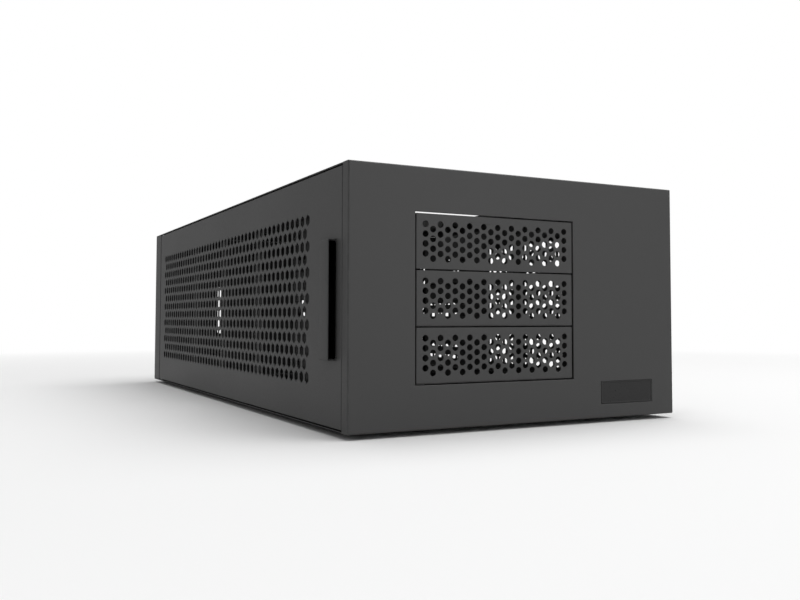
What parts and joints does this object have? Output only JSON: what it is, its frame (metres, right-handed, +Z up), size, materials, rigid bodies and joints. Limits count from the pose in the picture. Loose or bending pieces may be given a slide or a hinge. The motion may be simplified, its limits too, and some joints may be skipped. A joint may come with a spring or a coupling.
{
  "type": "pedestal computer chassis",
  "caption": "Low, wide and deep steel computer chassis with stacked drive bays behind perforated covers and perforated side doors that swing open at the rear.",
  "frame": {"origin": "on the floor under the middle of the chassis", "axes": "+Y from the front panel to the rear, +X to the right seen from the front, +Z up"},
  "size_m": [0.321, 0.677, 0.2015],
  "materials": {
    "panel_paint": "fine matt powder coat",
    "steel_paint": "fine matt powder coat",
    "inner_paint": "matt powder coat",
    "bracket_paint": "matt black powder coat",
    "pull_plastic": "fine grained",
    "black_plastic": "moulded",
    "lock_plastic": "moulded",
    "badge": "smooth dark, left bare",
    "rubber": "matt",
    "zinc": "zinc plated",
    "magnet": "nickel plated"
  },
  "bodies": {
    "chassis": {"bottom_pan": "inner_paint", "top_panel": "steel_paint", "front_frame": "inner_paint", "front_panel": "panel_paint", "front_panel_clips": "black_plastic", "badge_plate": "badge", "rear_panel": "inner_paint", "rear_slot_trims": "rubber", "rear_panel_screws": "zinc", "front_post_left": "inner_paint", "front_post_right": "inner_paint", "rear_post_left": "steel_paint", "rear_post_right": "steel_paint", "top_rail_left": "inner_paint", "top_rail_right": "inner_paint", "fan_bracket_left": "bracket_paint", "fan_bracket_right": "bracket_paint", "fan_bracket_screws": "zinc", "bay_cage_left": "inner_paint", "bay_cage_right": "inner_paint", "cage_braces": "inner_paint", "cage_screws": "zinc", "drive_lock_bases": "black_plastic", "hinge_pins_left": "zinc", "hinge_pins_right": "zinc", "door_magnets_left": "magnet", "door_magnets_right": "magnet", "feet": "rubber", "foot_screws": "zinc", "top_panel_rivets": "steel_paint"},
    "left_door": {"door_panel_left": "steel_paint", "door_pull_left": "pull_plastic"},
    "right_door": {"door_panel_right": "steel_paint", "door_pull_right": "pull_plastic"},
    "cover_1": {"bay_cover_1": "panel_paint", "cover_clips_1": "black_plastic"},
    "cover_2": {"bay_cover_2": "panel_paint", "cover_clips_2": "black_plastic"},
    "cover_3": {"bay_cover_3": "panel_paint", "cover_clips_3": "black_plastic"},
    "lock_1": {"drive_lock_knob_1": "lock_plastic"},
    "lock_2": {"drive_lock_knob_2": "lock_plastic"},
    "lock_3": {"drive_lock_knob_3": "lock_plastic"}
  },
  "joints": [
    {"name": "left_door_hinge", "type": "hinge", "parent": "chassis", "child": "left_door", "pos_m": [-0.15, 0.3015, 0.1], "axis": [0, 0, -1], "range_deg": [0, 100]},
    {"name": "right_door_hinge", "type": "hinge", "parent": "chassis", "child": "right_door", "pos_m": [0.15, 0.3015, 0.1], "axis": [0, 0, 1], "range_deg": [0, 100]},
    {"name": "cover_1_slide", "type": "slide", "parent": "chassis", "child": "cover_1", "axis": [0, -1, 0], "range_m": [0, 0.06]},
    {"name": "cover_2_slide", "type": "slide", "parent": "chassis", "child": "cover_2", "axis": [0, -1, 0], "range_m": [0, 0.06]},
    {"name": "cover_3_slide", "type": "slide", "parent": "chassis", "child": "cover_3", "axis": [0, -1, 0], "range_m": [0, 0.06]},
    {"name": "lock_1_turn", "type": "hinge", "parent": "chassis", "child": "lock_1", "pos_m": [-0.1026, -0.1855, 0.1452], "axis": [-1, 0, 0], "range_deg": [0, 90]},
    {"name": "lock_2_turn", "type": "hinge", "parent": "chassis", "child": "lock_2", "pos_m": [-0.1026, -0.1855, 0.1022], "axis": [-1, 0, 0], "range_deg": [0, 90]},
    {"name": "lock_3_turn", "type": "hinge", "parent": "chassis", "child": "lock_3", "pos_m": [-0.1026, -0.1855, 0.0592], "axis": [-1, 0, 0], "range_deg": [0, 90]}
  ]
}
